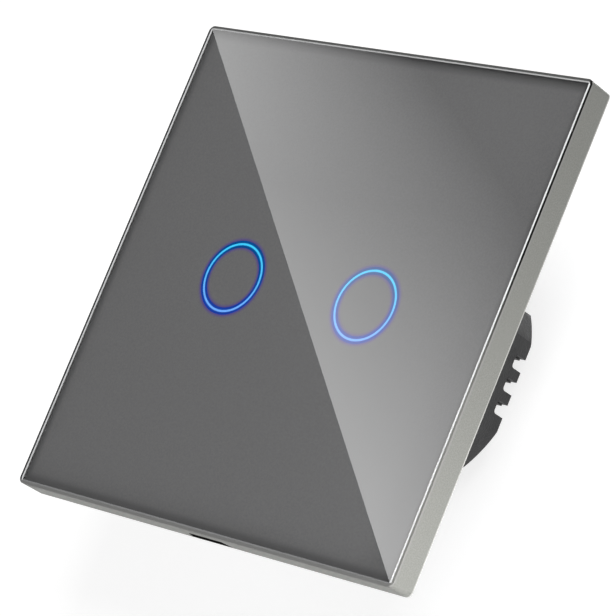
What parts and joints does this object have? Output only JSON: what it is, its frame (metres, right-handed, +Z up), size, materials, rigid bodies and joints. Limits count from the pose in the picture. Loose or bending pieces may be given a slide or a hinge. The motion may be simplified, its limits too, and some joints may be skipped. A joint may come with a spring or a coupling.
{
  "type": "touch light switch",
  "caption": "Square glass-fronted capacitive touch light switch with glowing touch rings, a clip-on frame, a steel yoke and a round flush-box module with clamp terminals.",
  "frame": {"origin": "centre of the box screw pattern, on the wall plane against which the yoke lies", "axes": "+X to the right seen from the front, +Y into the wall, +Z up; the glass faces -Y"},
  "size_m": [0.08, 0.0318, 0.08],
  "materials": {
    "glass": "clear polished glass with a polished bevel",
    "print": "grey print on the back of the glass",
    "bond": "black double-sided bond, seam and edge band",
    "frame": "satin silver paint on moulded plastic",
    "yoke": "zinc-plated pressed sheet",
    "screw": "zinc-plated",
    "housing": "fine-grained black moulding",
    "cover": "dark moulding",
    "light_guide": "milky light guide, lit",
    "spring": "bright spring wire",
    "circuit_board": "green solder mask",
    "chip": "black moulded resin",
    "led": "small white package",
    "relay": "blue moulded case",
    "capacitor": "sleeved can",
    "film_capacitor": "moulded case",
    "surge_disc": "dipped disc",
    "brass": "plain brass",
    "saddle": "nickel-plated"
  },
  "bodies": {
    "module": {"mounting_yoke": "yoke", "yoke_screws": "screw", "rear_housing": "housing", "sensor_cover": "cover", "left_light_ring": "light_guide", "right_light_ring": "light_guide", "left_touch_spring": "spring", "right_touch_spring": "spring", "touch_board": "circuit_board", "touch_chip": "chip", "ring_leds": "led", "pin_header": "chip", "power_board": "circuit_board", "left_relay": "relay", "right_relay": "relay", "storage_capacitor": "capacitor", "film_capacitor": "film_capacitor", "surge_disc": "surge_disc", "terminal_block": "housing", "terminal_plates": "brass"},
    "panel": {"glass_panel": "glass", "back_print": "print", "ring_windows": "light_guide", "panel_bond": "bond", "panel_frame": "frame"},
    "saddle_1": {"wire_saddle_1": "saddle"},
    "saddle_2": {"wire_saddle_2": "saddle"},
    "saddle_3": {"wire_saddle_3": "saddle"},
    "screw_1": {"terminal_screw_1": "screw"},
    "screw_2": {"terminal_screw_2": "screw"},
    "screw_3": {"terminal_screw_3": "screw"}
  },
  "joints": [
    {"name": "panel_pull", "type": "slide", "parent": "module", "child": "panel", "axis": [0, -1, 0], "range_m": [0, 0.012]},
    {"name": "saddle_1_lift", "type": "slide", "parent": "module", "child": "saddle_1", "axis": [0, 1, 0], "range_m": [0, 0.0016]},
    {"name": "saddle_2_lift", "type": "slide", "parent": "module", "child": "saddle_2", "axis": [0, 1, 0], "range_m": [0, 0.0016]},
    {"name": "saddle_3_lift", "type": "slide", "parent": "module", "child": "saddle_3", "axis": [0, 1, 0], "range_m": [0, 0.0016]},
    {"name": "screw_1_turn", "type": "hinge", "parent": "saddle_1", "child": "screw_1", "pos_m": [0.0153, 0.0247, 0.00381], "axis": [0, 1, 0], "range_deg": [0, 1441]},
    {"name": "screw_2_turn", "type": "hinge", "parent": "saddle_2", "child": "screw_2", "pos_m": [0.0153, 0.0247, 0], "axis": [0, 1, 0], "range_deg": [0, 1441]},
    {"name": "screw_3_turn", "type": "hinge", "parent": "saddle_3", "child": "screw_3", "pos_m": [0.0153, 0.0247, -0.00381], "axis": [0, 1, 0], "range_deg": [0, 1441]}
  ],
  "couplings": [
    {"joint": "screw_1_turn", "follows": "saddle_1_lift", "rad_per_m": 15708},
    {"joint": "screw_2_turn", "follows": "saddle_2_lift", "rad_per_m": 15708},
    {"joint": "screw_3_turn", "follows": "saddle_3_lift", "rad_per_m": 15708}
  ]
}
